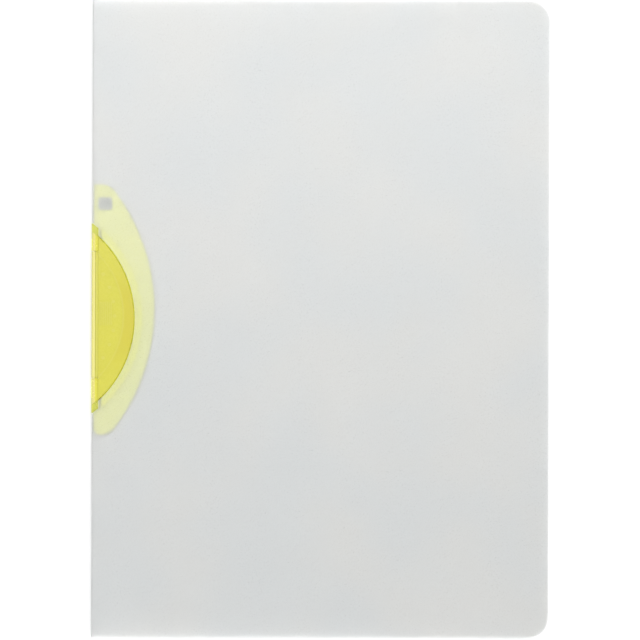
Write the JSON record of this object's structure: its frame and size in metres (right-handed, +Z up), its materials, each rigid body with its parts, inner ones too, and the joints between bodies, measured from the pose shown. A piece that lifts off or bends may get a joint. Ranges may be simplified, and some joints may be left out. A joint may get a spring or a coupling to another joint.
{
  "type": "swing clip file",
  "caption": "A4 file of folded frosted translucent plastic sheet with a half-moon clip that swings out through a window at the spine to hold loose papers.",
  "frame": {"origin": "middle of the outline on the back cover's outer face, with the file closed and lying on its back cover", "axes": "+Z up out of the front cover, +Y along the spine towards the head of the file, spine on the -X side"},
  "size_m": [0.2226, 0.31, 0.005],
  "materials": {
    "cover_sheet": "frosted translucent polypropylene sheet",
    "clip_plastic": "translucent yellow moulded plastic, glossy",
    "mark": "plain grey pad with no lettering"
  },
  "bodies": {
    "back": {"back_cover": "cover_sheet", "rear_crease_upper": "cover_sheet", "rear_crease_lower": "cover_sheet", "clip_base": "clip_plastic", "hinge_pin": "clip_plastic", "clip_rivets": "clip_plastic", "mark_pad": "mark"},
    "spine": {"spine_strip_upper": "cover_sheet", "spine_strip_lower": "cover_sheet", "front_crease_upper": "cover_sheet", "front_crease_lower": "cover_sheet"},
    "front": {"front_cover": "cover_sheet"},
    "wing": {"swing_wing": "clip_plastic"}
  },
  "joints": [
    {"name": "spine_fold", "type": "hinge", "parent": "back", "child": "spine", "pos_m": [-0.11073, 0, 0.0009], "axis": [0, -1, 0], "range_deg": [0, 90]},
    {"name": "cover_fold", "type": "hinge", "parent": "spine", "child": "front", "pos_m": [-0.11073, 0, 0.0041], "axis": [0, -1, 0], "range_deg": [0, 90.9]},
    {"name": "wing_swing", "type": "hinge", "parent": "back", "child": "wing", "pos_m": [-0.10917, 0, 0.00275], "axis": [0, -1, 0], "range_deg": [0, 178]}
  ]
}
